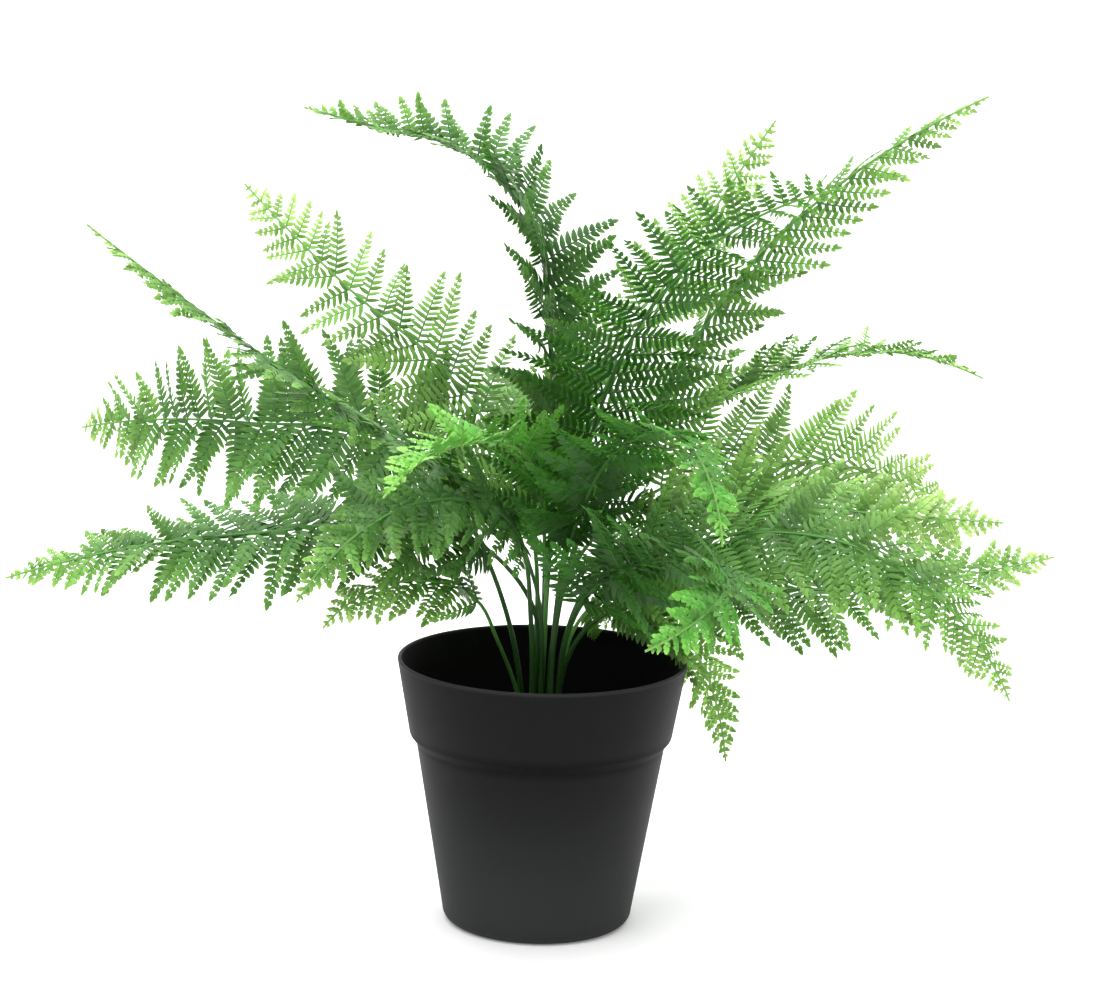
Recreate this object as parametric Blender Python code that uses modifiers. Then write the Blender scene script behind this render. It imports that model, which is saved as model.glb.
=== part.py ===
"""Potted fern: twenty twice-cut fronds standing in a plastic pot of compost.

Metres, +Z up. The origin is the centre of the pot's base, on the surface it stands on,
and -Y is the front of the plant.
"""

import math
import random
from collections import namedtuple

import bmesh
import bpy
from mathutils import Quaternion, Vector
from mathutils.bvhtree import BVHTree
from mathutils.geometry import interpolate_bezier

MM = 0.001

# Pot: a drawn-in cup with a wide band under the rim.
POT_HEIGHT = 112 * MM
RIM_RADIUS = 60 * MM
BAND_FOOT_RADIUS = 54.5 * MM
BAND_FOOT_HEIGHT = 80 * MM
STEP_FOOT_RADIUS = 51.7 * MM
STEP_FOOT_HEIGHT = 76.5 * MM
BASE_SIDE_RADIUS = 39.6 * MM
BASE_CORNER_RADIUS = 5 * MM
POT_WALL = 1.7 * MM
POT_FLOOR = 2.5 * MM
TURNED_STEPS = 32

# Compost: fills the pot to a low mound, well under the rim.
GAP = 0.3 * MM
SOIL_EDGE_HEIGHT = 72 * MM
SOIL_MOUND_HEIGHT = 78 * MM
SOIL_SHOULDER = (32 * MM, 76 * MM)
HOLE_DEPTH = 24 * MM
HOLE_SIDES = 6

# Stalks and ribs.
STALK_WIDTH = 2.8 * MM
RIB_WIDTH = 1.7 * MM
TIP_WIDTH = 0.9 * MM
THINNING_END = 0.35
STALK_EDGE = 0.34
STALK_BENDS = 6
SOIL_CLEAR = 6 * MM

# Side leaves, called pinnae: where they leave the rib, how long and wide they grow, and how many
# degrees their spread gains at the foot of the blade and loses at its tip.
BLADE_THICKNESS = 0.7 * MM
TIP_BARE = 7 * MM
SPACING_AT_TIP = 9 * MM
SPACING_AT_BASE = 20 * MM
SPACING_REACH = 50 * MM
LENGTH_REACH = 72 * MM
PINNA_ROOT = 2.6 * MM
SPREAD_CHANGE = 5
PINNA_WIDTH_SHARE = 0.40
PINNA_ARCH = 0.12
WIDEST_AT = 0.3

# Lobes of a pinna's edge: from which lengths it has one and two on each side. In shares of the
# pitch of the lobes, how far out the first one lies, how far after each the notch follows, and
# how long the plain tip is. NOTCH_SHARE: width left at a notch.
LENGTH_FOR_LOBES = (6.5 * MM, 18 * MM)
LOBE_START = 0.8
NOTCH_AFTER = 0.25
LOBE_TIP = 0.6
NOTCH_SHARE = 0.5

# Uneven growth of the pinnae: chance changes of length, angle and bend.
UNEVEN_LENGTH = 0.08
UNEVEN_ANGLE = math.radians(5)
UNEVEN_BEND = math.radians(6)

# A pinna that would meet another frond is bent up or down, then shortened, until it is clear.
BENDS = [math.radians(a) for a in (0, 9, -9, 18, -18, 28, -28, 40, -40, 54, -54)]
BEND_LIMITS = (math.radians(-62), math.radians(76))
SHORTER = (1.0, 0.84, 0.68, 0.52, 0.4)
CLEARANCE = 0.45 * MM
RIB_SKIN_STEPS = 40

# One row a frond. foot: where its stalk stands, in millimetres. roll: turn of the blade about its
# rib, in degrees. fold: how far both halves of the blade are folded up, in degrees. bare: share of
# the length that is stalk. leaf: longest pinna, in millimetres. spread: angle between a pinna and
# the rib half way up the blade, in degrees. path: points that its rib passes through, in
# millimetres, the last one its tip.
Frond = namedtuple("Frond", "name foot roll fold bare leaf spread path")
FRONDS = [
    Frond("crown_right", (3, -8.5), -40, 15, 0.34, 48, 74,
          [(17, -12, 206), (30, -28, 246), (69, -62, 298), (110, -84, 318)]),
    Frond("upper_right", (3, -2.5), 38, -35, 0.34, 34, 46,
          [(16, 3, 170), (42, 6, 216), (86, 6, 283), (130, 2, 322), (173, -4, 348)]),
    Frond("right_fan", (3, 4.5), 65, 0, 0.50, 64, 48,
          [(17, 11, 157), (46, 28, 178), (88, 41, 188), (174, 70, 167)]),
    Frond("top_spray", (-0.5, 7), 35, -5, 0.42, 38, 57,
          [(9, 18, 188), (32, 40, 236), (61, 62, 282), (94, 82, 330)]),
    Frond("back", (-0.5, 12.5), 0, 8, 0.34, 40, 57,
          [(-1, 28, 170), (-6, 70, 208), (-9, 130, 205), (-14, 185, 180)]),
    Frond("crown_left", (-0.5, 1), -16, 32, 0.44, 40, 57,
          [(-1, 7, 248), (-9, 15, 292), (-41, 24, 320), (-70, 30, 326), (-104, 34, 334)]),
    Frond("upper_left", (-4, 5), -60, -5, 0.33, 46, 57,
          [(-11, 11, 182), (-42, 35, 224), (-86, 60, 256), (-133, 85, 297)]),
    Frond("low_left", (-4, -3), -22, -8, 0.34, 41, 57,
          [(-5, -5, 136), (-26, -13, 162), (-119, -26, 167), (-218, -26, 146)]),
    Frond("mid_left", (-4, -9), -8, -12, 0.34, 32, 52,
          [(-5, -11, 128), (-11, -17, 168), (-58, -45, 209), (-96, -75, 238), (-174, -100, 299)]),
    Frond("front_left_high", (-0.5, -6), 0, 38, 0.40, 36, 57,
          [(0, -17, 160), (-6, -31, 199), (-40, -80, 213), (-61, -118, 201)]),
    Frond("front", (3.5, -16), -10, 10, 0.40, 36, 57,
          [(10, -24, 166), (28, -56, 211), (50, -96, 223), (65, -140, 190)]),
    Frond("right_mid", (6.5, 7), 40, 10, 0.30, 42, 57,
          [(17, 8, 122), (60, 8, 139), (131, 12, 142), (212, 14, 157)]),
    Frond("back_right_high", (3, 10), 0, 22, 0.55, 36, 57,
          [(22, 26, 174), (72, 66, 211), (156, 92, 229), (190, 98, 218)]),
    Frond("back_right_low", (6.5, 12.5), -50, -10, 0.36, 36, 52,
          [(13, 24, 119), (38, 60, 126), (66, 88, 97), (83, 96, 42)]),
    Frond("left", (-8, 2.5), -75, 5, 0.32, 53, 72,
          [(-22, 12, 146), (-53, 40, 188), (-132, 84, 193), (-212, 146, 178)]),
    Frond("low_left_short", (-8, -5.5), -45, -5, 0.52, 42, 57,
          [(-19, -10, 122), (-27, -16, 139), (-48, -24, 149), (-89, -34, 130)]),
    Frond("front_left_low", (-0.5, -12), -45, -12, 0.46, 36, 57,
          [(-4, -25, 150), (-20, -50, 184), (-45, -74, 192), (-93, -118, 160)]),
    Frond("front_right", (6.5, -11.5), -15, 5, 0.34, 42, 57,
          [(13, -24, 138), (43, -60, 167), (69, -112, 170), (37, -152, 153)]),
    Frond("right_low", (6.5, -5.5), 40, -5, 0.32, 42, 57,
          [(18, -13, 142), (54, -30, 167), (124, -54, 173), (185, -62, 114)]),
    Frond("right_upper", (6.5, 0.5), 52, -5, 0.32, 42, 57,
          [(19, -3, 146), (63, -12, 180), (137, -20, 180), (185, -22, 178)]),
]


def collection_named(name):
    made = bpy.data.collections.new(name)
    bpy.context.scene.collection.children.link(made)
    return made


def material(name, colour, roughness):
    made = bpy.data.materials.new(name)
    made.use_nodes = True
    shader = made.node_tree.nodes["Principled BSDF"]
    shader.inputs["Base Color"].default_value = (*colour, 1)
    shader.inputs["Roughness"].default_value = roughness
    shader.inputs["Metallic"].default_value = 0
    made.diffuse_color = (*colour, 1)
    return made


def arc(centre, radius, first, last, segments):
    """Points of a round corner in a turned profile, from angle first to last in degrees."""
    turns = [math.radians(first + (last - first) * i / segments) for i in range(segments + 1)]
    return [(centre[0] + radius * math.cos(t), centre[1] + radius * math.sin(t)) for t in turns]


def turned(name, profile, collection, finish):
    """A solid of revolution. Its profile starts and ends on the axis and goes down its outer side."""
    mesh = bpy.data.meshes.new(name)
    edges = [(i, i + 1) for i in range(len(profile) - 1)]
    mesh.from_pydata([(r, 0, z) for r, z in profile], edges, [])
    mesh.materials.append(finish)
    made = bpy.data.objects.new(name, mesh)
    collection.objects.link(made)
    screw = made.modifiers.new("Turn", "SCREW")
    screw.steps = screw.render_steps = TURNED_STEPS
    screw.use_merge_vertices = True
    screw.merge_threshold = 0.01 * MM
    screw.use_smooth_shade = True
    return made


def side_radius(height):
    """Outer radius of the pot's tapered side, below the band."""
    slope = (STEP_FOOT_RADIUS - BASE_SIDE_RADIUS) / (STEP_FOOT_HEIGHT - BASE_CORNER_RADIUS)
    return BASE_SIDE_RADIUS + slope * (height - BASE_CORNER_RADIUS)


def build_pot(collection):
    lip = POT_WALL / 2
    inner_corner = BASE_CORNER_RADIUS - POT_WALL
    inside = [(0, POT_FLOOR)]
    corner = (BASE_SIDE_RADIUS - BASE_CORNER_RADIUS, POT_FLOOR + inner_corner)
    inside += arc(corner, inner_corner, -90, 0, 2)
    inside += [
        (STEP_FOOT_RADIUS - POT_WALL, STEP_FOOT_HEIGHT),
        (BAND_FOOT_RADIUS - POT_WALL, BAND_FOOT_HEIGHT),
    ]
    rim = arc((RIM_RADIUS - lip, POT_HEIGHT - lip), lip, 180, 0, 3)
    outside = [
        (BAND_FOOT_RADIUS, BAND_FOOT_HEIGHT),
        (STEP_FOOT_RADIUS, STEP_FOOT_HEIGHT),
    ]
    base = (BASE_SIDE_RADIUS - BASE_CORNER_RADIUS, BASE_CORNER_RADIUS)
    outside += arc(base, BASE_CORNER_RADIUS, 0, -90, 3) + [(0, 0)]
    black_plastic = material("black_plastic", (0.021, 0.022, 0.022), 0.5)
    return turned("pot", inside + rim + outside, collection, black_plastic)


def build_soil(collection, cutters):
    inner_edge = side_radius(SOIL_EDGE_HEIGHT) - POT_WALL - GAP
    foot_height = POT_FLOOR + BASE_CORNER_RADIUS
    foot_edge = side_radius(foot_height) - POT_WALL - GAP
    floor_edge = BASE_SIDE_RADIUS - BASE_CORNER_RADIUS
    profile = [
        (0, SOIL_MOUND_HEIGHT),
        SOIL_SHOULDER,
        (inner_edge, SOIL_EDGE_HEIGHT),
        (foot_edge, foot_height),
        (floor_edge, POT_FLOOR + GAP),
        (0, POT_FLOOR + GAP),
    ]
    compost = material("compost", (0.022, 0.014, 0.009), 0.95)
    soil = turned("soil", profile, collection, compost)
    holes = soil.modifiers.new("Stalk holes", "BOOLEAN")
    holes.operation = "DIFFERENCE"
    holes.operand_type = "COLLECTION"
    holes.collection = cutters
    return soil


def stalk_foot(frond):
    return Vector((*frond.foot, 0)) * MM


def stalk_hole(foot, cutters):
    """Cutter for the plain hole that a stalk stands in."""
    top = SOIL_MOUND_HEIGHT + SOIL_CLEAR
    floor = SOIL_MOUND_HEIGHT - HOLE_DEPTH
    bpy.ops.mesh.primitive_cylinder_add(
        vertices=HOLE_SIDES,
        radius=(STALK_WIDTH / 2 + GAP) / math.cos(math.pi / HOLE_SIDES),
        depth=top - floor,
        location=(foot.x, foot.y, (top + floor) / 2),
    )
    cutter = bpy.context.object
    cutter.name = "stalk_hole"
    cutter.hide_render = True
    cutter.display_type = "WIRE"
    for owner in cutter.users_collection:
        owner.objects.unlink(cutter)
    cutters.objects.link(cutter)


class Rib:
    """The rib of a frond: a smooth curve from the stalk's foot to the tip, with a frame that
    is carried along it without twist and rolled gradually over the bare stalk."""

    STEPS = 24

    def __init__(self, frond):
        foot = stalk_foot(frond)
        base = foot + Vector((0, 0, SOIL_MOUND_HEIGHT - HOLE_DEPTH + GAP))
        knots = [foot + Vector((0, 0, SOIL_MOUND_HEIGHT + SOIL_CLEAR))]
        knots += [Vector(p) * MM for p in frond.path]
        slopes = self.slopes(knots)
        self.points = [base]
        for i in range(len(knots) - 1):
            reach = (knots[i + 1] - knots[i]).length / 3
            handles = (knots[i] + slopes[i] * reach, knots[i + 1] - slopes[i + 1] * reach)
            stretch = interpolate_bezier(knots[i], *handles, knots[i + 1], self.STEPS)
            self.points += stretch[(1 if i else 0):]
        self.marks = [0]
        for a, b in zip(self.points, self.points[1:]):
            self.marks.append(self.marks[-1] + (b - a).length)
        self.length = self.marks[-1]
        self.soil_mark = self.marks[1]
        self.carry_frame(frond)

    @staticmethod
    def slopes(knots):
        """Unit directions at the knots: upright at the foot, then as a round curve would lie."""
        slopes = [Vector((0, 0, 1))]
        for before, here, after in zip(knots, knots[1:], knots[2:]):
            a, b = here - before, after - here
            slopes.append((a / a.length_squared + b / b.length_squared).normalized())
        last = (knots[-1] - knots[-2]).normalized()
        slopes.append((2 * last.dot(slopes[-1]) * last - slopes[-1]).normalized())
        return slopes

    def carry_frame(self, frond):
        count = len(self.points)
        ahead = [self.points[min(i + 1, count - 1)] - self.points[max(i - 1, 0)] for i in range(count)]
        self.tangents = [t.normalized() for t in ahead]
        outward = (Vector(frond.path[-1]) * Vector((1, 1, 0))).normalized()
        side = outward.cross(Vector((0, 0, 1)))
        self.sides = [side]
        for a, b in zip(self.tangents, self.tangents[1:]):
            side = a.rotation_difference(b) @ side
            side = (side - b * side.dot(b)).normalized()
            self.sides.append(side)
        for i, mark in enumerate(self.marks):
            turn = math.radians(frond.roll) * min(mark / (self.length * frond.bare), 1)
            self.sides[i] = Quaternion(self.tangents[i], turn) @ self.sides[i]

    def at(self, mark):
        """Place, tangent, side and upper normal at a distance along the rib."""
        mark = min(max(mark, 0), self.length)
        i = 0
        while self.marks[i + 1] < mark and i < len(self.marks) - 2:
            i += 1
        t = (mark - self.marks[i]) / (self.marks[i + 1] - self.marks[i])
        tangent = self.tangents[i].lerp(self.tangents[i + 1], t).normalized()
        side = self.sides[i].lerp(self.sides[i + 1], t)
        side = (side - tangent * side.dot(tangent)).normalized()
        return self.points[i].lerp(self.points[i + 1], t), tangent, side, side.cross(tangent)


def pair_marks(rib, frond):
    """Where the pairs of pinnae leave the rib, from the base to the tip, closing up on the way."""
    marks = []
    left = TIP_BARE
    while left < rib.length * (1 - frond.bare):
        marks.append(rib.length - left)
        grown = 1 - math.exp(-left / SPACING_REACH)
        left += SPACING_AT_TIP + (SPACING_AT_BASE - SPACING_AT_TIP) * grown
    return marks[::-1]


def pinna_length(rib, frond, mark):
    """Pinnae lengthen with the distance from the tip, up to the frond's longest."""
    return frond.leaf * MM * (1 - math.exp(-(rib.length - mark) / LENGTH_REACH))


def pinna_angle(rib, frond, mark):
    """Pinnae stand out most at the foot of the blade and lie closer to the rib at its tip."""
    start = rib.length * frond.bare
    share = (mark - start) / (rib.length - start)
    return math.radians(frond.spread + SPREAD_CHANGE * (1 - 2 * share))


def rib_width(rib, mark):
    """The stalk thins quickly up to the blade, and the rib then slowly to its tip."""
    share = mark / rib.length
    if share < THINNING_END:
        return STALK_WIDTH + (RIB_WIDTH - STALK_WIDTH) * share / THINNING_END
    return RIB_WIDTH + (TIP_WIDTH - RIB_WIDTH) * (share - THINNING_END) / (1 - THINNING_END)


class Pinna:
    """A side leaf: a thin arched blade with a lobed edge. grow makes it larger all round, for
    the clearance test."""

    def __init__(self, rib, mark, side_sign, length, angle, bend, grow=0.0):
        place, tangent, side, normal = rib.at(mark)
        out = side * side_sign
        outward = out * math.cos(bend) + normal * math.sin(bend)
        self.along = tangent * math.cos(angle) + outward * math.sin(angle)
        self.across = tangent * math.sin(angle) - outward * math.cos(angle)
        self.up = normal * math.cos(bend) - out * math.sin(bend)
        self.root = place + out * rib_width(rib, mark) / 2
        self.length = length + grow
        half = length * PINNA_WIDTH_SHARE / 2
        lobes = sum(length > limit for limit in LENGTH_FOR_LOBES)
        pitch = length / (lobes + LOBE_TIP)
        self.rows = []
        for i in range(lobes):
            u = pitch * (i + LOBE_START)
            taper = max(u / length - WIDEST_AT, 0) / (1 - WIDEST_AT)
            reach = half * (1 - taper ** 2)
            self.rows.append((u, reach + grow))
            if i < lobes - 1:
                self.rows.append((u + pitch * NOTCH_AFTER, reach * NOTCH_SHARE + grow))

    def point(self, u, v):
        """Place of a point u along the pinna and v across it: the blade droops as it goes out."""
        sag = PINNA_ARCH * self.length * (u / self.length) ** 2
        return self.root + self.along * u + self.across * v - self.up * sag

    def surface(self, root_pair=None):
        """Corners and triangles of the middle surface. The first two corners are its root."""
        if root_pair is None:
            width = PINNA_ROOT / 2
            root_pair = [self.point(0, -width), self.point(0, width)]
        corners, faces = list(root_pair), []
        for u, v in self.rows:
            here = len(corners)
            corners += [self.point(u, -v), self.point(u, v)]
            faces += [(here - 2, here, here - 1), (here - 1, here, here + 1)]
        last = len(corners)
        corners.append(self.point(self.length, 0))
        faces.append((last - 2, last, last - 1))
        return corners, faces


def slab(corners, faces, up, half):
    """Closed skin of a thin blade round its middle surface, for the clearance test."""
    count = len(corners)
    points = [p + up * half for p in corners] + [p - up * half for p in corners]
    skin = list(faces) + [tuple(reversed([i + count for i in f])) for f in faces]
    sides = {}
    for f in faces:
        for a, b in zip(f, f[1:] + f[:1]):
            sides[(a, b)] = True
    for a, b in sides:
        if (b, a) not in sides:
            skin += [(a, a + count, b), (b, a + count, b + count)]
    return points, skin


def rib_skin(rib):
    """Square tube round a rib, for the clearance test."""
    points, faces = [], []
    for i in range(RIB_SKIN_STEPS + 1):
        mark = rib.length * i / RIB_SKIN_STEPS
        place, _, side, normal = rib.at(mark)
        reach = rib_width(rib, mark) / 2
        square = ((1, 1), (-1, 1), (-1, -1), (1, -1))
        points += [place + (side * a + normal * b) * reach for a, b in square]
    for i in range(RIB_SKIN_STEPS):
        for k in range(4):
            a, b = 4 * i + k, 4 * i + (k + 1) % 4
            faces += [(a, b, b + 4), (a, b + 4, a + 4)]
    return points, faces


def merged_tree(skins):
    points, faces = [], []
    for more_points, more_faces in skins:
        start = len(points)
        points += more_points
        faces += [tuple(i + start for i in f) for f in more_faces]
    return BVHTree.FromPolygons(points, faces)


def choose_pinnae(ribs):
    """For each frond its pinnae, as (pair, side, length, angle, bend), clear of one another."""
    skins = {name: [rib_skin(rib)] for name, rib in ribs.items()}
    trees = {name: merged_tree(skins[name]) for name in ribs}
    chosen = {}
    for frond in FRONDS:
        rib = ribs[frond.name]
        chance = random.Random(frond.name)
        kept = []
        own = {1: [], -1: []}
        others = [trees[name] for name in ribs if name != frond.name]
        for pair, mark in enumerate(pair_marks(rib, frond)):
            for side_sign in (1, -1):
                length = pinna_length(rib, frond, mark) * (1 + UNEVEN_LENGTH * chance.uniform(-1, 1))
                angle = pinna_angle(rib, frond, mark) + UNEVEN_ANGLE * chance.uniform(-1, 1)
                bend = math.radians(frond.fold) + UNEVEN_BEND * chance.uniform(-1, 1)
                fit = clear_pinna(rib, mark, side_sign, length, angle, bend, others + own[side_sign])
                if fit is None:
                    continue
                length, bend = fit
                kept.append((pair, side_sign, length, angle, bend))
                pinna = Pinna(rib, mark, side_sign, length, angle, bend)
                skin = slab(*pinna.surface(), pinna.up, BLADE_THICKNESS / 2)
                own[side_sign] = own[side_sign][-1:] + [merged_tree([skin])]
                skins[frond.name].append(skin)
        trees[frond.name] = merged_tree(skins[frond.name])
        chosen[frond.name] = kept
    return chosen


def clear_pinna(rib, mark, side_sign, full_length, angle, fold, others):
    """The first length and bend that keep a pinna clear of the others, or None."""
    for share in SHORTER:
        for change in BENDS:
            bend = fold + change
            if not BEND_LIMITS[0] < bend < BEND_LIMITS[1]:
                continue
            trial = Pinna(rib, mark, side_sign, full_length * share, angle, bend, CLEARANCE)
            points, faces = slab(*trial.surface(), trial.up, BLADE_THICKNESS / 2 + CLEARANCE)
            tree = BVHTree.FromPolygons(points, faces)
            if not any(tree.overlap(other) for other in others):
                return full_length * share, bend
    return None


def frond_sheet(frond, rib, pinnae):
    """The frond's middle surface, each corner with its share of the stalk's thickness."""
    sheet = bmesh.new()
    thickness = sheet.verts.layers.float.new("thickness")

    def corner(place, share):
        made = sheet.verts.new(place)
        made[thickness] = share
        return made

    def row(mark, crest):
        place, _, side, _ = rib.at(mark)
        width = rib_width(rib, mark)
        edge = STALK_EDGE if crest else 1.0
        ends = [corner(place + side * width / 2 * s, edge * width / STALK_WIDTH) for s in (1, -1)]
        middle = [corner(place, width / STALK_WIDTH)] if crest else []
        return [ends[0]] + middle + [ends[1]]

    marks = pair_marks(rib, frond)
    bare_length = marks[0] - PINNA_ROOT / 2 - rib.soil_mark
    stalk = [0] + [rib.soil_mark + bare_length * i / STALK_BENDS for i in range(STALK_BENDS)]
    rows = [row(mark, True) for mark in stalk]
    for mark in marks:
        rows += [row(mark - PINNA_ROOT / 2, False), row(mark + PINNA_ROOT / 2, False)]
    for a, b in zip(rows, rows[1:]):
        if len(a) == 3 and len(b) == 3:
            quads = ((a[0], b[0], b[1], a[1]), (a[1], b[1], b[2], a[2]))
            for p, q, r, s in quads:
                sheet.faces.new((p, q, r))
                sheet.faces.new((p, r, s))
        elif len(a) == 3:
            sheet.faces.new((a[0], b[0], a[1]))
            sheet.faces.new((a[1], b[1], a[2]))
            sheet.faces.new((a[1], b[0], b[1]))
        else:
            sheet.faces.new((a[0], b[0], b[1]))
            sheet.faces.new((a[0], b[1], a[1]))
    blade = BLADE_THICKNESS / STALK_WIDTH
    tip = corner(rib.points[-1], blade)
    sheet.faces.new((rows[-1][0], tip, rows[-1][1]))
    for pair, side_sign, length, angle, bend in pinnae:
        pinna = Pinna(rib, marks[pair], side_sign, length, angle, bend)
        end = 0 if side_sign > 0 else -1
        before, after = (rows[len(stalk) + 2 * pair + i][end] for i in (0, 1))
        corners, faces = pinna.surface([before.co.copy(), after.co.copy()])
        made = [before, after] + [corner(p, blade) for p in corners[2:]]
        for f in faces:
            if side_sign > 0:
                f = tuple(reversed(f))
            sheet.faces.new([made[i] for i in f])
    return sheet


def build_frond(frond, rib, pinnae, collection, finish):
    sheet = frond_sheet(frond, rib, pinnae)
    bmesh.ops.recalc_face_normals(sheet, faces=sheet.faces)
    layer = sheet.verts.layers.float["thickness"]
    shares = [v[layer] for v in sheet.verts]
    mesh = bpy.data.meshes.new("frond_" + frond.name)
    sheet.to_mesh(mesh)
    sheet.free()
    mesh.materials.append(finish)
    made = bpy.data.objects.new(mesh.name, mesh)
    collection.objects.link(made)
    group = made.vertex_groups.new(name="thickness")
    for i, share in enumerate(shares):
        group.add([i], share, "REPLACE")
    wall = made.modifiers.new("Thickness", "SOLIDIFY")
    wall.thickness = STALK_WIDTH
    wall.offset = 0
    wall.vertex_group = group.name
    return made


def main():
    for obj in list(bpy.data.objects):
        bpy.data.objects.remove(obj, do_unlink=True)
    plant = collection_named("potted_fern")
    cutters = collection_named("stalk_holes")
    ribs = {f.name: Rib(f) for f in FRONDS}
    build_pot(plant)
    for frond in FRONDS:
        stalk_hole(stalk_foot(frond), cutters)
    build_soil(plant, cutters)
    leaf_green = material("leaf_green", (0.035, 0.18, 0.03), 0.5)
    pinnae = choose_pinnae(ribs)
    for frond in FRONDS:
        build_frond(frond, ribs[frond.name], pinnae[frond.name], plant, leaf_green)


main()
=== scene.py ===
"""Potted fern: twenty finely cut fronds that rise in a close bunch from a black plastic pot.

Metres, +Z up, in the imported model's frame, whose origin is the centre of the pot's base.
-Y is the front of the plant.
"""

import math
import random
from collections import namedtuple

import bmesh
import bpy
from mathutils import Matrix, Quaternion, Vector, noise
from mathutils.bvhtree import BVHTree
from mathutils.geometry import interpolate_bezier


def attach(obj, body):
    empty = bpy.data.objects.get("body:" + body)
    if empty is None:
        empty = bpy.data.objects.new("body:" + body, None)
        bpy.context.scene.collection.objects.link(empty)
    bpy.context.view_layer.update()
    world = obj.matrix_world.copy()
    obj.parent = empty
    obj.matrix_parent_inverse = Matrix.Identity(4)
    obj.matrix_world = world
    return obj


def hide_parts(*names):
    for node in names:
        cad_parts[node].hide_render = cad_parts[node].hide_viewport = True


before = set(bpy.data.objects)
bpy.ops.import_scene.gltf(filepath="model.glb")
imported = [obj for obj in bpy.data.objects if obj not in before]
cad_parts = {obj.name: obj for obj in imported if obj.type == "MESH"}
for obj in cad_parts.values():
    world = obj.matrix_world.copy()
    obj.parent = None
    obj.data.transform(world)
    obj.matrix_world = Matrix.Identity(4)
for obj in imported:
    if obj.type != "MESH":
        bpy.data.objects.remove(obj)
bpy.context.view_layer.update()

MM = 0.001

# Camera: a short telephoto at the photograph's place, a little turned about its own axis.
CAMERA_PLACE = Vector((0, -1300, 436)) * MM
CAMERA_AIM = Vector((3, 0, 182)) * MM
CAMERA_ROLL = math.radians(1.43)
CAMERA_LENS = 105.0
CAMERA_SENSOR = 36.0

# Studio, in metres: a white sheet along the floor that curves up behind, and soft boxes round it,
# whose power is in watts.
SHEET_HALF = 7.0
SHEET_BACK = 1.9
SHEET_CURVE = 0.8
SHEET_CURVE_STEPS = 16
SHEET_TOP = 3.2
ROOM_LIGHT = 0.5
SoftBox = namedtuple("SoftBox", "name place aim size power")
SOFT_BOXES = (
    SoftBox("key_box", (-0.9, -1.1, 1.7), (0, 0, 0.15), (1.4, 1.4), 13),
    SoftBox("top_box", (0.1, -0.1, 2.1), (0, 0, 0.1), (2.6, 2.6), 66),
    SoftBox("back_box", (0, 0.9, 2.6), (0, 2.4, 0.7), (3.0, 1.2), 60),
)

# Vertices nearer to each other than this are merged.
MERGE = 0.001 * MM

# Pot: a drawn-in cup with a wide band under the rim. The gate is the small hollow that the mould
# leaves in the middle of the base.
POT_HEIGHT = 112 * MM
RIM_RADIUS = 60 * MM
BAND_FOOT_RADIUS = 54.5 * MM
BAND_FOOT_HEIGHT = 80 * MM
STEP_FOOT_RADIUS = 51.7 * MM
STEP_FOOT_HEIGHT = 76.5 * MM
BASE_SIDE_RADIUS = 39.6 * MM
BASE_CORNER_RADIUS = 5 * MM
POT_WALL = 1.7 * MM
POT_FLOOR = 2.5 * MM
POT_STEPS = 160
POT_EDGE_ROUND = 0.8 * MM
POT_CREASE = math.radians(40)
INNER_CORNER_STEPS = 8
OUTER_CORNER_STEPS = 12
GATE_RADIUS = 3 * MM
GATE_DEPTH = 0.3 * MM
GATE_NARROWING = 0.9

# Compost: a low mound of crumbs, well under the rim. The fractal values are how fast its detail
# fades, the step from one octave to the next, and the number of octaves.
SOIL_GAP = 0.3 * MM
SOIL_EDGE_HEIGHT = 72 * MM
SOIL_MOUND_HEIGHT = 78 * MM
SOIL_SHOULDER = (32 * MM, 76 * MM)
SOIL_STEPS = 96
SOIL_ROWS = 22
SOIL_SMOOTH_EDGE = 0.2 * MM
SOIL_ROUGHNESS = 1.1 * MM
SOIL_LUMP = 6 * MM
SOIL_FRACTAL = (0.6, 2.0, 4)
SOIL_MOUND_CURVE = 1.6
CRUMBS = 420
CRUMB_RADIUS = (0.7 * MM, 2.3 * MM)
CRUMB_SMALLNESS = 2.5
CRUMB_LIFT = 0.15
CRUMB_BREADTH = (0.5, 0.9)
CRUMB_THICKNESS = (0.4, 0.8)
CRUMB_DENT = 1.3 * MM
CRUMB_DENT_DEPTH = 0.28
HOLE_DEPTH = 24 * MM

# Stalks and ribs.
STALK_WIDTH = 2.8 * MM
RIB_WIDTH = 1.7 * MM
TIP_WIDTH = 0.9 * MM
THINNING_END = 0.35
SOIL_CLEAR = 6 * MM
RIB_SIDES = 10
RIB_STEP = 4 * MM
GROOVE_DEPTH = 0.45

# Side leaves, called pinnae: where they leave the rib, how long and wide they grow, and how many
# degrees their spread gains at the foot of the blade and loses at its tip. Each starts inside the
# rib, at this share of the rib's width from its middle.
PINNA_ROOT = 0.3
TIP_BARE = 3.6 * MM
SPACING_AT_TIP = 2.7 * MM
SPACING_REACH = 38 * MM
LENGTH_REACH = 72 * MM
SPREAD_CHANGE = 5
PINNA_WIDTH_SHARE = 0.43
PINNA_TAPER = 1.6
PINNA_ARCH = 0.12

# Uneven growth of the pinnae: chance changes of length, angle, bend, twist, droop and sweep.
UNEVEN_LENGTH = 0.13
UNEVEN_ANGLE = math.radians(9)
UNEVEN_BEND = math.radians(18)
UNEVEN_TWIST = math.radians(26)
UNEVEN_ARCH = 0.14
UNEVEN_SWEEP = 0.10

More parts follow.
